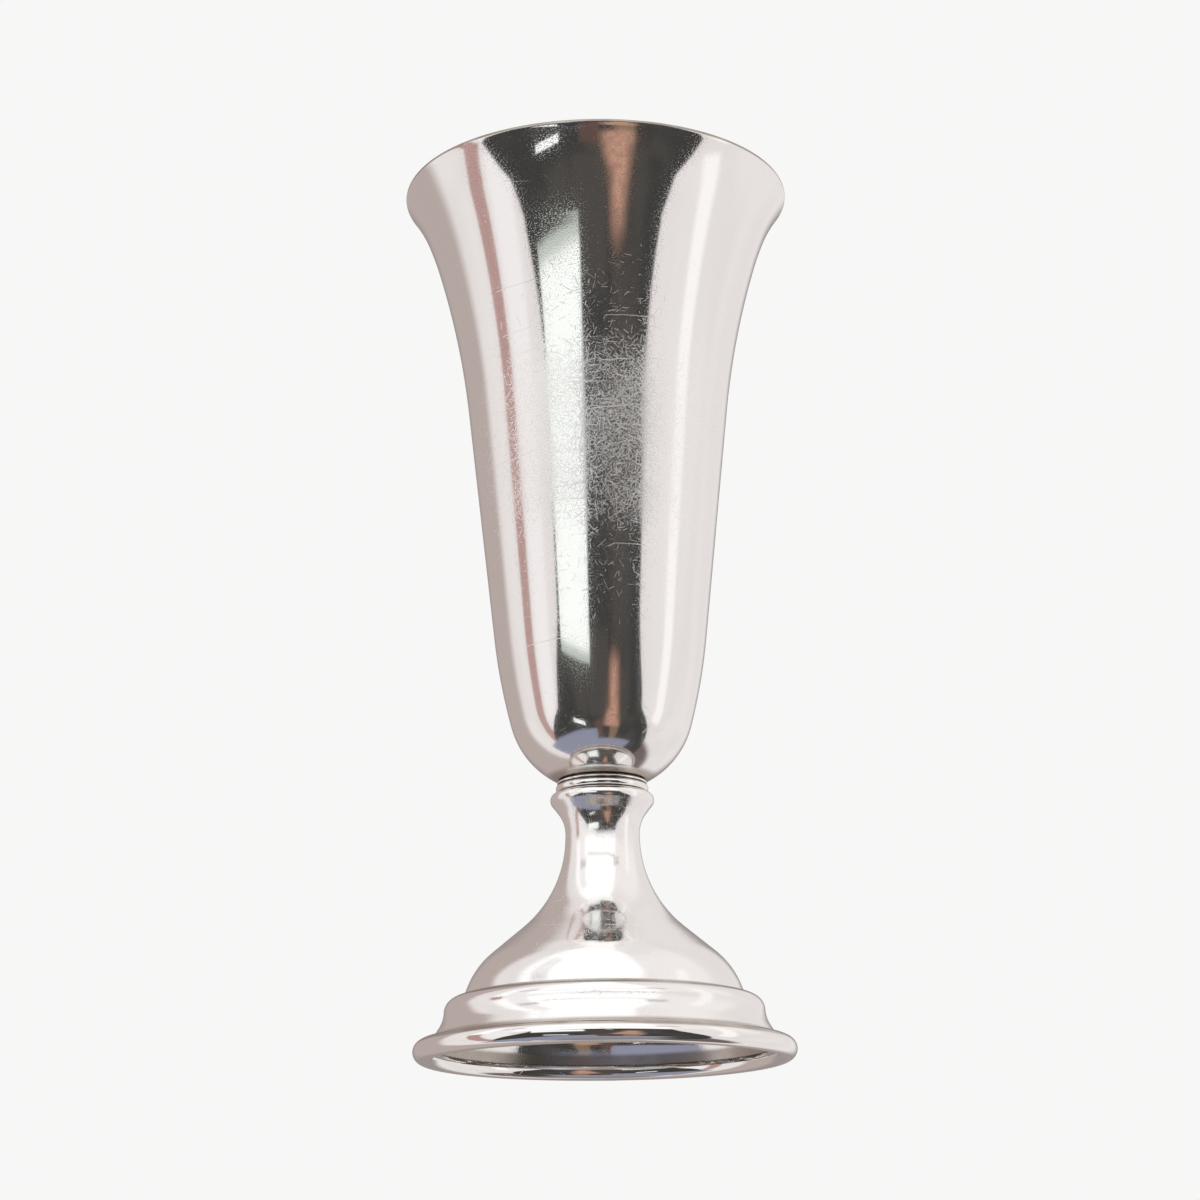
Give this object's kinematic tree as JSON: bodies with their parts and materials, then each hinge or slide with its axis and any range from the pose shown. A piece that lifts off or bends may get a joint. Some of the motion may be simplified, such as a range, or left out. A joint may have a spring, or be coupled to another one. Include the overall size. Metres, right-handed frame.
{
  "type": "bar jigger",
  "caption": "Polished silver bar jigger: a tall flared cup on a hollow stepped pedestal foot with a round wire edge.",
  "frame": {"origin": "on the axis, in the plane that the jigger stands on", "axes": "+Z along the axis, from the standing face to the mouth of the cup; the object is round, so X and Y are free"},
  "size_m": [0.0442, 0.0442, 0.1],
  "materials": {
    "silver": "mirror-polished sterling silver sheet with fine handling scratches",
    "silver_turned": "turned and polished silver, slightly dull in the groove",
    "silver_wire": "polished silver wire, rubbed where it stands",
    "solder": "silver solder, satin"
  },
  "bodies": {
    "root": {"bowl": "silver", "bowl_solder": "solder", "collar_ring": "silver_turned", "stem_solder": "solder", "pedestal_foot": "silver", "rim_solder": "solder", "foot_rim_wire": "silver_wire"}
  },
  "joints": []
}
